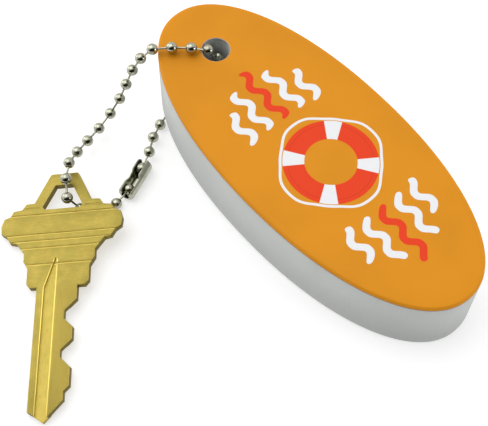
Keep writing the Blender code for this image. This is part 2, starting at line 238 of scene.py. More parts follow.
def mesh_of(name, points, faces, crease=math.radians(35)):
    """A smooth-shaded mesh with outward faces; edges past the crease angle stay sharp."""
    mesh = bpy.data.meshes.new(name)
    mesh.from_pydata([tuple(p) for p in points], [], faces)
    bm = bmesh.new()
    bm.from_mesh(mesh)
    bmesh.ops.recalc_face_normals(bm, faces=bm.faces)
    bm.to_mesh(mesh)
    bm.free()
    mesh.shade_smooth()
    mesh.set_sharp_from_angle(angle=crease)
    return mesh


def ring_faces(rings, count, closed):
    """Quads between neighbouring rings of a like count, round and round if they close on the first."""
    faces = []
    for r in range(rings if closed else rings - 1):
        low, high = r * count, (r + 1) % rings * count
        for i in range(count):
            j = (i + 1) % count
            faces.append((low + i, low + j, high + j, high + i))
    return faces


def quarter(steps):
    """(inset, rise) shares of a quarter round, from the flat to the side."""
    turns = [math.pi / 2 * i / steps for i in range(steps + 1)]
    return [(1 - math.sin(a), 1 - math.cos(a)) for a in turns]


EDGE_STEPS = 5
RIM_STEPS = 6
WALL_ROWS, FACE_ROWS, BORE_ROWS, UNDER_ROWS = 6, 16, 4, 8


def drilled_slab(name, half_length, half_width, levels, edges, lips, looks):
    """An oval slab with a round hole, all its rims rounded, as one closed run of rings.

    The levels, the outer edges' roundings and the hole's roundings are each (lower, upper).
    """
    (bottom, top), (lower_edge, upper_edge), (lower_lip, upper_lip) = levels, edges, lips
    count, hole_x = looks.outline_points, looks.hole_from_end - half_length
    turns = np.linspace(0, math.tau, count, endpoint=False)
    c, s = np.cos(turns), np.sin(turns)
    power = 2 / looks.outline_power
    shape = np.stack([np.sign(c) * np.abs(c) ** power, np.sign(s) * np.abs(s) ** power], 1)
    outline = shape * (half_length, half_width)
    bearing = np.arctan2(outline[:, 1], outline[:, 0] - hole_x)
    bore = looks.hole_diameter / 2

    def outer(inset, z):
        flat = shape * (half_length - inset, half_width - inset)
        return np.c_[flat, np.full(count, z)]

    def hole(radius, z):
        return np.stack([hole_x + radius * np.cos(bearing), radius * np.sin(bearing), np.full(count, z)], 1)

    def across(start, end, rows):
        shares = np.linspace(0, 1, rows + 2)[1:-1]
        return [start + (end - start) * t for t in shares]

    rings = [outer(lower_edge * i, bottom + lower_edge * h) for i, h in quarter(EDGE_STEPS)]
    rings += across(rings[-1], outer(0, top - upper_edge), WALL_ROWS)
    rings += [outer(upper_edge * h, top - upper_edge * i) for i, h in quarter(RIM_STEPS)]
    mouth = [hole(bore + upper_lip * i, top - upper_lip * h) for i, h in quarter(EDGE_STEPS)]
    rings += across(rings[-1], mouth[0], FACE_ROWS) + mouth
    foot = [hole(bore + lower_lip * i, bottom + lower_lip * h) for i, h in reversed(quarter(EDGE_STEPS))]
    rings += across(mouth[-1], foot[0], BORE_ROWS) + foot
    rings += across(foot[-1], rings[0], UNDER_ROWS)
    return mesh_of(name, np.vstack(rings), ring_faces(len(rings), count, True))


def lathe(profile, sides):
    """Points and faces of an open profile of (radius, z) turned about Z."""
    turns = np.linspace(0, math.tau, sides, endpoint=False)
    rings = [np.c_[r * np.cos(turns), r * np.sin(turns), np.full(sides, z)] for r, z in profile]
    return np.vstack(rings), ring_faces(len(profile), sides, False)


def frame_along(direction, place, guide=Vector((0, 0, 1))):
    """A frame at a place whose Z is a direction and whose X leans towards the guide."""
    z = Vector(direction).normalized()
    y = z.cross(guide).normalized()
    turned = Matrix((y.cross(z), y, z)).transposed().to_4x4()
    turned.translation = place
    return turned


# ---------------------------------------------------------------- finishes


CUT_BROWN = (0.09, 0.045, 0.02)
PALE_SPECK = (0.95, 0.62, 0.25)
BRASS_BLOTCH = (0.33, 0.28, 0.06)

# How much of its colour a soiled, clouded, dulled or bared place, a print seam or painted shade keeps, or
# what painted highlight and mottle gain above 1
FOAM_SOILED = 0.9
FOAM_FOOT_PAINTED_SHADE = 0.84
INK_CLOUDED = 0.93
RED_SEAM = 0.86
BARED_FOAM = 0.85
NICKEL_DULL = 0.72
BRASS_BRIGHT = 1.75
BRASS_LINE_PAINTED_SHADE = 0.45
BRASS_DARK = 0.32

# Texture scales, per millimetre, and the stretch of those that run one way
FOAM_CELLS = 3.4
FOAM_FINE = 6.0
FOAM_CLOUD = 0.09
CUT_MARKS, CUT_MARKS_RUN = 1.6, (1.2, 1.2, 0.07)
PRINT_GRAIN = 5.0
PRINT_CLOUD = 0.07
NICKEL_RUB = 0.9
NICKEL_SCRATCH, SCRATCH_RUN = 1.0, (7.0, 7.0, 0.8)
BRASS_GRAIN, BOW_RUN, BLADE_RUN = 1.6, (0.3, 5.0, 5.0), (6.0, 0.25, 6.0)
BRASS_CLOUD = 0.3
BRASS_MOTTLE = 2.2
BRASS_PATCH = 0.42
BRASS_PITS = 1.6
BRASS_SPECKS = 0.55

# The foam's painted shade towards its foot, in millimetres over its underside
FOOT_SHADED = (1.0, 13.0)

# The print, in millimetres from the middle of the float
PRINT_SOFT = 0.05
BAND_SOFT = 0.03
RING_BANDS = 4
BAND_EDGE = 0.72
ROPE_OFF = 0.45
ROPE_SLACK = 1.1
ROPE_HALF = 0.28
SEAM_SHARE = 0.28
SEAM_HALF = 0.09
CUT_BAND = (0.1, 0.24)
BARED_SOFT = 0.03
WAVE_TURN = math.tau / 5.6
WAVE_RISE = 0.85
WAVE_WIDTH = 1.55
WAVES = (  # middle along and across, half the run, colour
    (-11.9, 8.4, 3.5, "white"),
    (-14.0, 4.2, 4.9, "white"),
    (-15.4, 0.0, 6.3, "red"),
    (-14.0, -4.2, 4.9, "white"),
    (-11.9, -8.4, 3.5, "white"),
    (21.9, 8.4, 3.5, "white"),
    (24.0, 4.2, 4.9, "white"),
    (25.4, 0.0, 6.3, "red"),
    (24.0, -4.2, 4.9, "white"),
    (21.9, -8.4, 3.5, "white"),
)

# The key, in millimetres from the middle of its loop's bar
BLADE_BLEND = (-27.0, -23.0)
GROOVE_SIDES = (-2.65, -0.35)
GROOVE_FOOT = -24.7
GROOVE_TOP = -18.6
GROOVE_SLANT = 0.3
LINES = (-8.0, -12.55, -14.05, -15.7, -19.45)
LINE_REACH = 14.0
SHORT_LINES = ((-6.45, 4.7, 14.0),)  # height, then from and to on both sides
LINE_OVERRUN = 1.5
# Half the width of the painted shade in each struck line
STRUCK_HALF = 0.13
TOP_SIDE_RISE = 0.2
LINE_SOFT = 0.05
# Where the painted highlight below each struck line lies
LINE_LIT_OFF, LINE_LIT_HALF = 0.22, 0.07
# The painted highlights along the groove's slanted and right rims
SLANT_RIM_OFF, SLANT_RIM_HALF, SLANT_RIM_SOFT = 0.08, 0.1, 0.06
RIGHT_RIM_OFF, RIGHT_RIM_HALF, RIGHT_RIM_SOFT = 0.1, 0.12, 0.08
GROOVE_SOFT, GROOVE_TOP_SOFT = 0.05, 0.3
# Where the painted shade right of the groove begins and how soon it is full
SHADE_PAINTED_OFF, SHADE_PAINTED_BLEND = 0.2, 0.5
# How far from the groove the sides' painted shade is held off
WALL_REACH, WALL_SOFT, WALL_TOP_SOFT = 0.3, 0.1, 0.2


def shade(colour, share):
    return tuple(c * share for c in colour)


def foam_finish(looks, within):
    """White closed-cell foam, die-cut: fine cells and faint upright cutting marks, with painted shade
    towards its foot.
    """
    finish = Finish(bpy.data.materials.new("closed cell foam"), Specular_IOR_Level=0.3, Sheen_Weight=0.08)
    place = finish.place(within)
    cells = finish.cells(place, FOAM_CELLS)
    fine = finish.noise(place, FOAM_FINE, 3.0, 0.6)
    cutting = finish.noise(finish.stretched(place, *CUT_MARKS_RUN), CUT_MARKS, 2.0)
    cloud = finish.noise(place, FOAM_CLOUD, 2.0)
    soiled = cloud.ramp(0.4, 0.75) * 0.5 + cells.ramp(0.0, 0.35, 1.0, 0.0) * 0.35
    colour = finish.mixed(tuple(looks.foam_colour), shade(looks.foam_colour, FOAM_SOILED), soiled)
    # Painted shade: the foam is darkened from its upper walls down towards its foot
    low = finish.axes(place)[2].ramp(*FOOT_SHADED, 1.0, 0.0)
    colour = finish.mixed(colour, shade(looks.foam_colour, FOAM_FOOT_PAINTED_SHADE), low)
    finish.put(Base_Color=colour, Roughness=0.78 + fine * 0.14)
    finish.bumped(cells * 0.05 + fine * 0.05 + cutting * 0.12, MM, 0.55)
    return finish.owner


def print_finish(looks, within, edge_z, hole_x):
    """Orange print on the foam's face: a life ring with its rope between two groups of waves."""
    finish = Finish(bpy.data.materials.new("printed foam face"), Specular_IOR_Level=0.16)
    place = finish.place(within)
    x, y, z = finish.axes(place)
    u = x - looks.ring_x / MM
    radius = u.length_with(y)
    ring, width = looks.ring_radius / MM, looks.ring_width / MM
    body = (abs(radius - ring) - width / 2).inside(PRINT_SOFT)
    sectors = (y.math("ARCTAN2", u) * RING_BANDS + looks.ring_turn).math("COSINE")
    bands = (BAND_EDGE - sectors).inside(BAND_SOFT)
    slack = sectors.ramp(-1.0, 1.0, ROPE_SLACK, 0.0)
    rope = (abs(radius - ring - width / 2 - ROPE_OFF - slack) - ROPE_HALF).inside(PRINT_SOFT)
    seam = (abs(radius - ring - width * SEAM_SHARE) - SEAM_HALF).inside(PRINT_SOFT)
    red = body * (1 - bands)
    white = rope.most(body * bands)
    slope = (x * WAVE_TURN).math("COSINE") * (WAVE_RISE * WAVE_TURN)
    squeeze = (slope * slope + 1).math("SQRT")
    rise = (x * WAVE_TURN).sine() * WAVE_RISE
    for centre_x, centre_y, half_run, name in WAVES:
        dx = (abs(x - centre_x) - half_run).most(0.0)
        dy = (y - centre_y - rise) / squeeze
        line = (dx.length_with(dy) - WAVE_WIDTH / 2).inside(PRINT_SOFT)
        if name == "red":
            red = red.most(line)
        else:
            white = white.most(line)
    grain = finish.noise(place, PRINT_GRAIN, 3.0, 0.65)
    cloud = finish.noise(place, PRINT_CLOUD, 2.0)
    ink, clouded = tuple(looks.ink_colour), shade(looks.ink_colour, INK_CLOUDED)
    colour = finish.mixed(ink, clouded, cloud.ramp(0.35, 0.7))
    colour = finish.mixed(colour, tuple(looks.print_red), red)
    colour = finish.mixed(colour, shade(looks.print_red, RED_SEAM), red * seam)
    colour = finish.mixed(colour, tuple(looks.print_white), white)
    colour = finish.mixed(colour, PALE_SPECK, grain.ramp(0.62, 0.75) * 0.12)
    cut = z.ramp(edge_z / MM + CUT_BAND[0], edge_z / MM + CUT_BAND[1], 1.0, 0.0)
    colour = finish.mixed(colour, CUT_BROWN, cut * cloud.ramp(0.3, 0.5, 0.55, 0.95))
    from_hole = (x - hole_x / MM).length_with(y)
    rim = (looks.hole_diameter / 2 + looks.cut_edge * 0.4) / MM
    bared = (from_hole - rim - grain * 0.08).inside(BARED_SOFT)
    colour = finish.mixed(colour, shade(looks.foam_colour, BARED_FOAM), bared)
    finish.put(Base_Color=colour, Roughness=0.44 + grain * 0.16)
    finish.bumped(grain * 0.03 + red.most(white) * 0.012, MM, 0.5)
    return finish.owner


def nickel_finish(looks, within=Matrix()):
    """Bright nickel plate over steel, a little warm, with rubbed and dull patches."""
    finish = Finish(bpy.data.materials.new("nickel plate"), Metallic=1.0)
    place = finish.place(within)
    rub = finish.noise(place, NICKEL_RUB, 3.0, 0.6)
    scratch = finish.noise(finish.stretched(place, *SCRATCH_RUN), NICKEL_SCRATCH, 2.0)
    rough = looks.nickel_roughness
    bright, dull = tuple(looks.nickel_colour), shade(looks.nickel_colour, NICKEL_DULL)
    finish.put(
        Base_Color=finish.mixed(bright, dull, rub.ramp(0.45, 0.75)),
        Roughness=rub.ramp(0.3, 0.7, rough, rough + 0.08),
    )
    finish.bumped(rub * 0.02 + scratch * 0.012, MM, 0.4)
    return finish.owner


def brass_finish(looks, within):
    """Brushed brass in streaks and soft blotches; painted shade on its lines, sides and blade, painted
    highlights on its rims.
    """
    finish = Finish(bpy.data.materials.new("brushed brass"))
    place = finish.place(within)
    x, y, z = finish.axes(place)
    bow_grain = finish.noise(finish.stretched(place, *BOW_RUN), BRASS_GRAIN, 4.0, 0.7)
    blade_grain = finish.noise(finish.stretched(place, *BLADE_RUN), BRASS_GRAIN, 4.0, 0.7)
    on_blade = y.ramp(*BLADE_BLEND, 1.0, 0.0)
    grain = bow_grain * (1 - on_blade) + blade_grain * on_blade
    cloud = finish.noise(place, BRASS_CLOUD, 4.0, 0.65)
    mottle = finish.noise(place, BRASS_MOTTLE, 3.0, 0.6)
    blotch = finish.noise(place, BRASS_PATCH, 3.0, 0.6)
    light, deep = tuple(looks.brass_colour), tuple(looks.brass_shade)
    bright = tuple(min(c, 1) for c in shade(light, BRASS_BRIGHT))
    # Dark for specks and pits, and for the painted shade on the sides
    dark = shade(light, BRASS_DARK)
    top_side = z.ramp(0.0, TOP_SIDE_RISE)

    colour = finish.mixed(light, deep, cloud.ramp(0.35, 0.65) * 0.5 + grain.ramp(0.35, 0.7) * 0.5)
    colour = finish.mixed(colour, bright, mottle.ramp(0.55, 0.8) * 0.2)
    colour = finish.mixed(colour, BRASS_BLOTCH, blotch.ramp(0.38, 0.62) * 0.55)
    left, right = GROOVE_SIDES
    # Painted shade: the blade's upper face right of the groove is darkened
    shade_painted = (x - right - SHADE_PAINTED_OFF).ramp(0.0, SHADE_PAINTED_BLEND) * on_blade * top_side
    colour = finish.mixed(colour, deep, shade_painted * 0.75)
    # Painted shade: each struck line is darkened on the upper face
    for line_y in LINES:
        struck = (abs(y - line_y) - STRUCK_HALF).inside(LINE_SOFT) * top_side
        colour = finish.mixed(colour, shade(light, BRASS_LINE_PAINTED_SHADE), struck * 0.8)

    slant = left + (y - GROOVE_FOOT).most(0.0) * GROOVE_SLANT
    below_top = y - GROOVE_TOP
    in_groove = (slant - x).inside(GROOVE_SOFT) * (x - right).inside(GROOVE_SOFT)
    in_groove = in_groove * below_top.inside(GROOVE_TOP_SOFT)
    # Painted highlights: bright bands along the groove's two rims and just below each struck line; they
    # also lower the roughness there
    slant_rim = (abs(x - slant + SLANT_RIM_OFF) - SLANT_RIM_HALF).inside(SLANT_RIM_SOFT)
    right_rim = (abs(x - right - RIGHT_RIM_OFF) - RIGHT_RIM_HALF).inside(RIGHT_RIM_SOFT)
    worn = slant_rim.most(right_rim) * below_top.inside(GROOVE_TOP_SOFT)
    worn = worn * grain.ramp(0.3, 0.6, 0.45, 1.0) * top_side
    for line_y in LINES:
        lit = (abs(y - line_y + LINE_LIT_OFF) - LINE_LIT_HALF).inside(LINE_SOFT)
        worn = worn.most(lit * grain.ramp(0.3, 0.6, 0.3, 0.8))
    colour = finish.mixed(colour, bright, in_groove * top_side * blade_grain.ramp(0.3, 0.6, 0.0, 0.35))

    pits = finish.cells(place, BRASS_PITS).ramp(0.04, 0.13, 1.0, 0.0)
    pits = pits * in_groove * top_side * cloud.ramp(0.4, 0.55)
    specks = finish.cells(place, BRASS_SPECKS).ramp(0.02, 0.09, 1.0, 0.0) * cloud.ramp(0.5, 0.6)
    marks = (specks * 0.7).most(pits * 0.8)
    colour = finish.mixed(colour, dark, marks)

    # Painted highlight: the rounded edges, found by which way they face, are paler and less metallic
    upright = abs(finish.axes(finish.facing(within))[2])
    rounded = upright.ramp(0.55, 0.7) * upright.ramp(0.86, 0.97, 1.0, 0.0)
    rim = rounded * grain.ramp(0.3, 0.6, 0.3, 0.85)
    colour = finish.mixed(colour, bright, worn.most(rim))
    # Painted shade: the upright sides are darkened, except near the groove, whose walls stay bright
    by_groove = (x - right - WALL_REACH).inside(WALL_SOFT) * (slant - x - WALL_REACH).inside(WALL_SOFT)
    by_groove = by_groove * (below_top - WALL_REACH).inside(WALL_TOP_SOFT)
    colour = finish.mixed(colour, dark, upright.ramp(0.25, 0.5, 0.9, 0.0) * (1 - by_groove))
    rough = looks.brass_roughness + grain * 0.2 - worn * 0.15 + marks * 0.2
    finish.put(Base_Color=colour, Roughness=rough, Metallic=1 - rim * 0.6)
    finish.bumped(grain * 0.05 + cloud * 0.05 + mottle * 0.02, MM, 0.6)
    return finish.owner


# ---------------------------------------------------------------- sizes and colours


def length(name, description, default):
    return FloatProperty(name=name, description=description, default=default, unit="LENGTH", precision=5)


def tint(name, description, default):
    return FloatVectorProperty(
        name=name, description=description, default=default, subtype="COLOR", size=3, min=0, max=1
    )


def angle(name, description, degrees):
    turn = math.radians(degrees)
    return FloatProperty(name=name, description=description, default=turn, subtype="ANGLE")


class FloatLooks(bpy.types.PropertyGroup):
    """The foam float and the print on its face."""

    outline_points: IntProperty(name="Outline points", description="Points round the oval", default=288)
    outline_power: FloatProperty(name="Outline power", description="2 is an ellipse", default=2.12)
    hole_diameter: length("Hole", "Diameter of the chain's hole", 5.85 * MM)
    hole_from_end: length("Hole from end", "From the float's end to the middle of its hole", 12.7 * MM)
    hole_lip: length("Hole lip", "Rounding of the hole's lower mouth", 0.5 * MM)
    cut_edge: length("Cut edge", "Rounding of the edges left by the cutting die", 0.12 * MM)
    foam_edge: length("Foam edge", "Rounding of the foam's lower rim", 0.7 * MM)
    face_edge: length("Face edge", "Rounding of the printed face's rim", 0.6 * MM)
    foam_colour: tint("Foam", "Colour of the foam", (0.6, 0.615, 0.6))
    ink_colour: tint("Ground", "Colour of the face's ground", (0.76, 0.29, 0.008))
    print_red: tint("Red ink", "Colour of the ring's cover and two waves", (0.83, 0.055, 0.012))
    print_white: tint("White ink", "Colour of the bands, the rope and the other waves", (0.87, 0.88, 0.9))
    ring_x: length("Ring place", "Where the printed ring's middle is along the float", 5.0 * MM)
    ring_radius: length("Ring radius", "Middle radius of the printed ring", 7.4 * MM)
    ring_width: length("Ring width", "Width of the printed ring's cover", 4.3 * MM)
    ring_turn: FloatProperty(name="Ring turn", description="Turn of the ring's bands", default=math.pi)


class ChainLooks(bpy.types.PropertyGroup):
    """The ball chain and its connector."""

    bead_diameter: length("Bead", "Diameter of a bead", 2.44 * MM)
    dimple_diameter: length("Bead mouth", "Diameter of the rolled-in mouth round a link", 0.95 * MM)
    dimple_depth: length("Mouth depth", "How far the mouth rolls in", 0.22 * MM)
    link_diameter: length("Link", "Diameter of a link's rod", 0.47 * MM)
    connector_length: length("Connector", "Length of the connector", 9.2 * MM)
    connector_diameter: length("Connector width", "Diameter of the connector", 3.6 * MM)
    connector_waist: length("Waist", "Diameter of its waist", 2.9 * MM)
    connector_sheet: length("Sheet", "Thickness of its sheet", 0.3 * MM)
    connector_mouth: length("Mouth", "Diameter of the openings in its ends", 1.8 * MM)
    seam: angle("Seam", "Angle of its open seam", 84)
    seam_edge: angle("Seam edge", "Where its sheet begins", 37.5)
    seam_step: angle("Seam step", "How far the seam steps round", 24)
    roll: angle("Roll", "How far its seam is turned from up", 8)
    turned_in: length("Turned in", "Rounding of its ends", 0.75 * MM)
    pinch_turn: angle("Pinch", "Where its waist is pinched, from the seam", -62)
    nickel_colour: tint("Nickel", "Colour of the plate", (0.43, 0.43, 0.34))
    nickel_roughness: FloatProperty(name="Roughness", description="Of the bright plate", default=0.12)


class KeyLooks(bpy.types.PropertyGroup):
    """The house key."""

    line_width: length("Line width", "Width of the lines struck in the bow", 0.25 * MM)
    line_depth: length("Line depth", "Depth of the struck lines", 0.12 * MM)
    edge_wear: length("Edge wear", "Width of the worn edges", 0.07 * MM)
    brass_colour: tint("Brass", "Colour of the brass", (0.45, 0.35, 0.08))
    # Also the darker grain and clouds, and the painted shade right of the blade's groove
    brass_shade: tint("Brass shade", "Colour where it is dulled", (0.36, 0.275, 0.06))
    brass_roughness: FloatProperty(name="Roughness", description="Of the brushed brass", default=0.42)


class StageLooks(bpy.types.PropertyGroup):
    """Floor, light and camera."""

    floor_colour: tint("Floor", "Colour of the floor", (0.6, 0.6, 0.6))
    floor_glow: FloatProperty(name="Floor glow", description="Light from under the table", default=0.54)
    sky: FloatProperty(name="Sky", description="Strength of the light all round", default=0.95)
    lamp: FloatProperty(name="Lamp", description="Power of the main lamp", default=3.7, unit="POWER")
    focal: FloatProperty(name="Focal length", description="In millimetres", default=84.84)


# ---------------------------------------------------------------- pieces


def float_frame():
    """The float's own frame: origin in the middle of its underside, Z through its thickness."""
    mount = next(m for m in frame["record"]["mounts"] if m["name"] == "float_underside")
    up = -Vector(mount["axis"]).normalized()
    along = Vector((0, 1, 0)).cross(up).normalized()
    turned = Matrix((along, up.cross(along), up)).transposed().to_4x4()
    turned.translation = Vector(mount["pos_m"])
    return turned


class FOAM_OT_body(bpy.types.Operator):
    """The white foam body with its bored hole"""

    bl_idname = "key_float.foam_body"
    bl_label = "Foam body"

    def execute(self, context):
        looks, place = context.scene.float_looks, float_frame()
        points = node_points("foam_float", place)
        half_length, half_width, top = points.max(0)
        edges, lips = (looks.foam_edge, looks.cut_edge), (looks.hole_lip, looks.cut_edge / 4)
        mesh = drilled_slab("foam_body", half_length, half_width, (0, top), edges, lips, looks)
        body = piece("foam_body", mesh, place, foam_finish(looks, place), "float", ["foam_float"])
        return {"FINISHED"}


class FOAM_OT_face(bpy.types.Operator):
    """The printed sheet glued on the foam"""

    bl_idname = "key_float.printed_sheet"
    bl_label = "Printed face"

    def execute(self, context):
        looks, place = context.scene.float_looks, float_frame()
        points = node_points("printed_face", place)
        half_length, half_width, top = points.max(0)
        bottom = points[:, 2].min()
        edges, lips = (looks.cut_edge / 2, looks.face_edge), (looks.cut_edge / 4, looks.cut_edge)
        mesh = drilled_slab("printed_sheet", half_length, half_width, (bottom, top), edges, lips, looks)
        finish = print_finish(looks, place, bottom, looks.hole_from_end - half_length)
        piece("printed_sheet", mesh, place, finish, "float", ["printed_face"])
        return {"FINISHED"}


def bead_centre(name, radius):
    """The middle of a bead's round shell, fitted to those of its node's points that lie on it."""
    points = node_points(name, Matrix()) / MM
    centre = points.mean(0)
    for share in np.geomspace(1, 0.03, 12):
        away = np.abs(np.linalg.norm(points - centre, axis=1) - radius / MM)
        near = points[away < radius / MM * share]
        rows = np.c_[2 * near, np.ones(len(near))]
        centre = np.linalg.lstsq(rows, (near**2).sum(1), rcond=None)[0][:3]
    return Vector(centre * MM)


def sphere_cage(subdivisions):
    """Unit sphere points and triangles, evenly spread."""
    bm = bmesh.new()
    bmesh.ops.create_icosphere(bm, subdivisions=subdivisions, radius=1)
    points = np.array([v.co for v in bm.verts])
    faces = [tuple(v.index for v in f.verts) for f in bm.faces]
    bm.free()
    return points, faces


BEAD_SUBDIVISIONS = 5
MOUTH_FLAT = 2.2
ROD_SIDES = 20
ROD_TIP, ROD_FLARE = 0.3, 1.15
ROD_RISE, ROD_EASE = 0.4, 1.6
BEAD_CREASE = math.radians(60)


class CHAIN_OT_beads(bpy.types.Operator):
    """The hollow beads, each with its mouths rolled in round the links, and the link to the next"""

    bl_idname = "key_float.ball_chain"
    bl_label = "Ball chain"

    def execute(self, context):
        looks = context.scene.chain_looks
        radius = looks.bead_diameter / 2
        centres = [bead_centre(name, radius) for name in BEADS]
        unit, triangles = sphere_cage(BEAD_SUBDIVISIONS)
        finish = nickel_finish(looks)
        for i, (name, centre) in enumerate(zip(BEADS, centres)):
            ways = [centres[j] - centre for j in (i + 1, i - 1) if 0 <= j < len(centres)]
            place = frame_along(ways[0], centre)
            back = place.to_3x3().inverted()
            size = np.ones(len(unit))
            for way in ways:
                way = np.array(back @ way.normalized())
                away = np.linalg.norm(unit - way, axis=1) * radius / (looks.dimple_diameter / 2)
                dip = np.clip(1 - away, 0, 1)
                dip = dip * dip * (3 - 2 * dip)
                size -= np.minimum(dip * MOUTH_FLAT, 1) * looks.dimple_depth / radius
            points, faces = unit * size[:, None] * radius, list(triangles)
            if i + 1 < len(centres):
                inside = radius - looks.dimple_depth * 2
                rod, far = looks.link_diameter / 2, ways[0].length - inside
                tip, flare, rise, ease = (rod * share for share in (ROD_TIP, ROD_FLARE, ROD_RISE, ROD_EASE))
                profile = [(tip, inside), (flare, inside + rise), (rod, inside + ease)]
                profile += [(rod, far - ease), (flare, far - rise), (tip, far)]
                rod_points, rod_faces = lathe(profile, ROD_SIDES)
                last = len(rod_points)
                ends = [tuple(range(ROD_SIDES)), tuple(range(last - ROD_SIDES, last))]
                faces += [tuple(k + len(points) for k in f) for f in rod_faces + ends]
                points = np.vstack([points, rod_points])
            mesh = mesh_of(f"bead_{i + 1:02d}", points, faces, BEAD_CREASE)
            piece(f"bead_{i + 1:02d}", mesh, place, finish, "float", [name])
        return {"FINISHED"}


WAIST_ENDS = 0.42
WAIST_FLAT = 0.14
END_SHARES = (0, 0.35, 0.7)
SLEEVE_ROWS = 65
SHEET_COLUMNS = 57
SHEET_EDGE = 0.07 * MM
SHEET_CREASE = math.radians(50)


def eased(share):
    share = min(max(share, 0), 1)
    return share * share * (3 - 2 * share)


class CHAIN_OT_connector(bpy.types.Operator):
    """The connector: one sheet rolled round both end beads, its open seam pinched at the waist"""

    bl_idname = "key_float.connector"
    bl_label = "Connector"

    def execute(self, context):
        looks = context.scene.chain_looks
        ends = [bead_centre(BEADS[i], looks.bead_diameter / 2) for i in (0, -1)]
        along = ends[1] - ends[0]
        along.z = 0
        place = frame_along(along, (ends[0] + ends[1]) / 2)
        place = place @ Matrix.Rotation(looks.roll, 4, "Z")
        half, wide = looks.connector_length / 2, looks.connector_diameter / 2
        mouth, turned_in = looks.connector_mouth / 2, looks.turned_in
        upper = [(mouth + t * (wide - turned_in - mouth), half) for t in END_SHARES]
        upper += [(wide - turned_in * i, half - turned_in * h) for i, h in quarter(RIM_STEPS)]
        sleeve = [(wide, z) for z in np.linspace(half - turned_in, turned_in - half, SLEEVE_ROWS)[1:-1]]
        profile = upper + sleeve + [(r, -z) for r, z in reversed(upper)]
        columns, rows, faces = SHEET_COLUMNS, [], []
        for r, z in profile:
            share = z / half
            start = looks.seam_edge - looks.seam_step * eased((share / WAIST_FLAT + 1) / 2)
            turns = start + np.linspace(0, math.tau - looks.seam, columns)
            pinched = eased((WAIST_ENDS - abs(share)) / (WAIST_ENDS - WAIST_FLAT))
            pinch = (wide - looks.connector_waist / 2) * pinched
            reach = r - pinch * ((1 + np.cos(turns - looks.pinch_turn)) / 2) ** 2
            rows.append(np.c_[reach * np.cos(turns), reach * np.sin(turns), np.full(columns, z)])
        for r in range(len(profile) - 1):
            for i in range(columns - 1):
                a, b = r * columns + i, (r + 1) * columns + i
                faces.append((a, b, b + 1, a + 1))
        mesh = mesh_of("connector", np.vstack(rows), faces, SHEET_CREASE)
        finish = nickel_finish(looks, place)
        shell = piece("connector", mesh, place, finish, "float", ["chain_clasp"])
        sheet = shell.modifiers.new("sheet", "SOLIDIFY")
        sheet.thickness = looks.connector_sheet
        sheet.offset = -1
        soften = shell.modifiers.new("rolled edges", "BEVEL")
        soften.width = SHEET_EDGE
        soften.segments = 2
        soften.limit_method = "ANGLE"
        soften.angle_limit = SHEET_CREASE
        return {"FINISHED"}


SAME_POINT = 0.002 * MM
SAME_PLANE = math.radians(0.5)
KEY_CREASE = math.radians(50)
WORN_CREASE = math.radians(40)
FLAT_SHARE = 0.99


def key_frame():
    """The key's own frame: the hinge in its loop's bar, X along the bar, Z through its thickness."""
    joint = frame["joints"][0]
    mesh = frame["nodes"]["house_key"].data
    x = -Vector(joint["axis"]).normalized()
    flat = max(mesh.polygons, key=lambda p: p.area if p.normal.z > 0 else 0)
    z = flat.normal.copy()
    z = (z - x * z.dot(x)).normalized()
    turned = Matrix((x, z.cross(x), z)).transposed().to_4x4()
    turned.translation = Vector(joint["pos_m"])
    return turned


def struck_lines(looks, top):
    """Sharp-bottomed grooves across both faces of the bow, as one cutter."""
    runs = [(y, -LINE_REACH, LINE_REACH) for y in LINES]
    runs += [(y, side * low, side * high) for y, low, high in SHORT_LINES for side in (1, -1)]
    points, faces = [], []
    wide, deep = looks.line_width / 2 / MM, looks.line_depth / MM
    for y, start, end in runs:
        for side in (1, -1):
            first = len(points)
            for x in (start, end):
                over, spread = side * (top + deep / 2), wide * LINE_OVERRUN
                points += [(x, y - spread, over), (x, y + spread, over), (x, y, side * (top - deep))]
            a, b = first, first + 3
            faces += [(a, a + 1, a + 2), (b, b + 2, b + 1), (a, b, b + 1, a + 1)]
            faces += [(a + 1, b + 1, b + 2, a + 2), (a + 2, b + 2, b, a)]
    return mesh_of("struck_lines", np.array(points) * MM, faces)


class KEY_OT_key(bpy.types.Operator):
    """The brass key, with the lines struck in its bow"""

    bl_idname = "key_float.house_key"
    bl_label = "House key"

    def execute(self, context):
        looks, place = context.scene.key_looks, key_frame()
        packed = frame["nodes"]["house_key"].data
        faces = [tuple(p.vertices) for p in packed.polygons]
        mesh = mesh_of("blank", node_points("house_key", place), faces)
        bm = bmesh.new()
        bm.from_mesh(mesh)
        bmesh.ops.remove_doubles(bm, verts=bm.verts, dist=SAME_POINT)
        bmesh.ops.dissolve_limit(bm, angle_limit=SAME_PLANE, verts=bm.verts, edges=bm.edges)
        bmesh.ops.recalc_face_normals(bm, faces=bm.faces)
        bm.to_mesh(mesh)
        bm.free()
        top = max(v.co.z for v in mesh.vertices) / MM
        blank = bpy.data.objects.new("blank", mesh)
        cutter = bpy.data.objects.new("lines", struck_lines(looks, top))
        for obj in (blank, cutter):
            context.scene.collection.objects.link(obj)
        cut = blank.modifiers.new("lines", "BOOLEAN")
        cut.operation, cut.solver, cut.object = "DIFFERENCE", "EXACT", cutter
        context.view_layer.update()
        struck = bpy.data.meshes.new_from_object(blank.evaluated_get(context.evaluated_depsgraph_get()))
        for obj in (blank, cutter):
            bpy.data.objects.remove(obj)
        struck.name = "key"
        struck.shade_smooth()
        for face in struck.polygons:
            face.use_smooth = abs(face.normal.z) < FLAT_SHARE
        struck.set_sharp_from_angle(angle=KEY_CREASE)
        key = piece("key", struck, place, brass_finish(looks, place), "key", ["house_key"])
        worn = key.modifiers.new("worn edges", "BEVEL")
        worn.width = looks.edge_wear
        worn.segments = 1
        worn.limit_method = "ANGLE"
        worn.angle_limit = WORN_CREASE
        return {"FINISHED"}


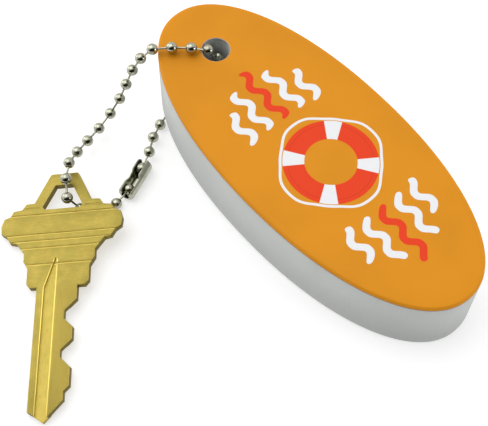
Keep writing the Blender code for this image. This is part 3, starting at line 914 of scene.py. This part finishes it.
CAMERA_PLACE = (0.08842, -0.09013, 0.20688)
CAMERA_FORWARD = (-0.3869, 0.3167, -0.8660)
CAMERA_RIGHT = (0.6485, 0.7611, -0.0114)
CAMERA_UP = (-0.6555, 0.5661, 0.4999)
LOOK_AT = (-0.0047, -0.0139, -0.0016)
DARK_ROOM = (0.8, -0.4, -0.2)
DARK_SPREAD = (-0.05, 0.35)
LAMPS = (
    ("top", (-0.3, -0.1, 0.7), 0.8, 0.55),
    ("left", (-0.62, -0.25, 0.2), 0.45, 0.2),
    ("right", (0.6, 0.35, 0.2), 0.3, 0.3),
)
WHITE_SKY = (1.0, 1.0, 1.0)
DARK_SKY = (0.02, 0.02, 0.015)
FLOOR_HALF = 3
LAMP_GUIDE = (0.1, 1, 0)
SENSOR = 36
CLIP_START = 0.01


class STAGE_OT_studio(bpy.types.Operator):
    """A pale floor, soft light and the camera"""

    bl_idname = "key_float.studio"
    bl_label = "Studio"

    def execute(self, context):
        looks, scene = context.scene.stage_looks, context.scene
        low = CAD_BOX[0][2]
        floor_mesh = bpy.data.meshes.new("floor")
        bm = bmesh.new()
        bmesh.ops.create_grid(bm, x_segments=2, y_segments=2, size=FLOOR_HALF)
        bm.to_mesh(floor_mesh)
        bm.free()
        floor = bpy.data.objects.new("floor", floor_mesh)
        floor.location.z = low
        scene.collection.objects.link(floor)
        paper = Finish(bpy.data.materials.new("lit table"), Roughness=0.9)
        paper.put(Base_Color=(*looks.floor_colour, 1))
        paper.put(Emission_Color=(1, 1, 1, 1), Emission_Strength=looks.floor_glow)
        floor_mesh.materials.append(paper.owner)
        world = bpy.data.worlds.new("studio")
        scene.world = world
        sky = Finish(world, "Background", Strength=looks.sky)
        ways = sky.axes(sky.node("TexCoord"))
        towards_room = sum(way * share for way, share in zip(ways, Vector(DARK_ROOM).normalized()))
        sky.put(Color=sky.mixed(WHITE_SKY, DARK_SKY, towards_room.ramp(*DARK_SPREAD)))
        for name, aim_from, size, power in LAMPS:
            light = bpy.data.lights.new(name, "AREA")
            light.shape = "DISK"
            light.size = size
            light.energy = looks.lamp * power
            lamp = bpy.data.objects.new(name, light)
            offset = Vector(aim_from)
            lamp.matrix_world = frame_along(offset, Vector(LOOK_AT) + offset, Vector(LAMP_GUIDE))
            scene.collection.objects.link(lamp)
        lens = bpy.data.cameras.new("camera")
        lens.sensor_width = SENSOR
        lens.lens = looks.focal
        lens.clip_start = CLIP_START
        camera = bpy.data.objects.new("camera", lens)
        turned = Matrix((CAMERA_RIGHT, CAMERA_UP, -Vector(CAMERA_FORWARD))).transposed().to_4x4()
        turned.translation = Vector(CAMERA_PLACE)
        camera.matrix_world = turned
        scene.collection.objects.link(camera)
        scene.camera = camera
        scene.view_settings.view_transform = "Standard"
        return {"FINISHED"}


# ---------------------------------------------------------------- add-on


STEPS = (FOAM_OT_body, FOAM_OT_face, CHAIN_OT_beads, CHAIN_OT_connector, KEY_OT_key, STAGE_OT_studio)
LOOKS = {
    "float_looks": FloatLooks,
    "chain_looks": ChainLooks,
    "key_looks": KeyLooks,
    "stage_looks": StageLooks,
}


class FLOAT_PT_panel(bpy.types.Panel):
    """Lists the sizes, the colours and the steps"""

    bl_idname = "FLOAT_PT_panel"
    bl_label = "Key float"
    bl_space_type = "VIEW_3D"
    bl_region_type = "UI"
    bl_category = "Key float"

    def draw(self, context):
        for name, group in LOOKS.items():
            box = self.layout.box()
            for setting in group.__annotations__:
                box.prop(getattr(context.scene, name), setting)
        for step in STEPS:
            self.layout.operator(step.bl_idname)


def register():
    for group in LOOKS.values():
        bpy.utils.register_class(group)
    for step in (*STEPS, FLOAT_PT_panel):
        bpy.utils.register_class(step)
    for name, group in LOOKS.items():
        setattr(bpy.types.Scene, name, PointerProperty(type=group))


def unregister():
    for name in LOOKS:
        delattr(bpy.types.Scene, name)
    for step in (FLOAT_PT_panel, *reversed(STEPS)):
        bpy.utils.unregister_class(step)
    for group in LOOKS.values():
        bpy.utils.unregister_class(group)


def main():
    register()
    for obj in [o for o in bpy.data.objects if o.name in ("Cube", "Light", "Camera")]:
        bpy.data.objects.remove(obj)
    bpy.ops.key_float.foam_body()
    bpy.ops.key_float.printed_sheet()
    bpy.ops.key_float.ball_chain()
    bpy.ops.key_float.connector()
    bpy.ops.key_float.house_key()
    bpy.ops.key_float.studio()


if __name__ == "__main__":
    main()
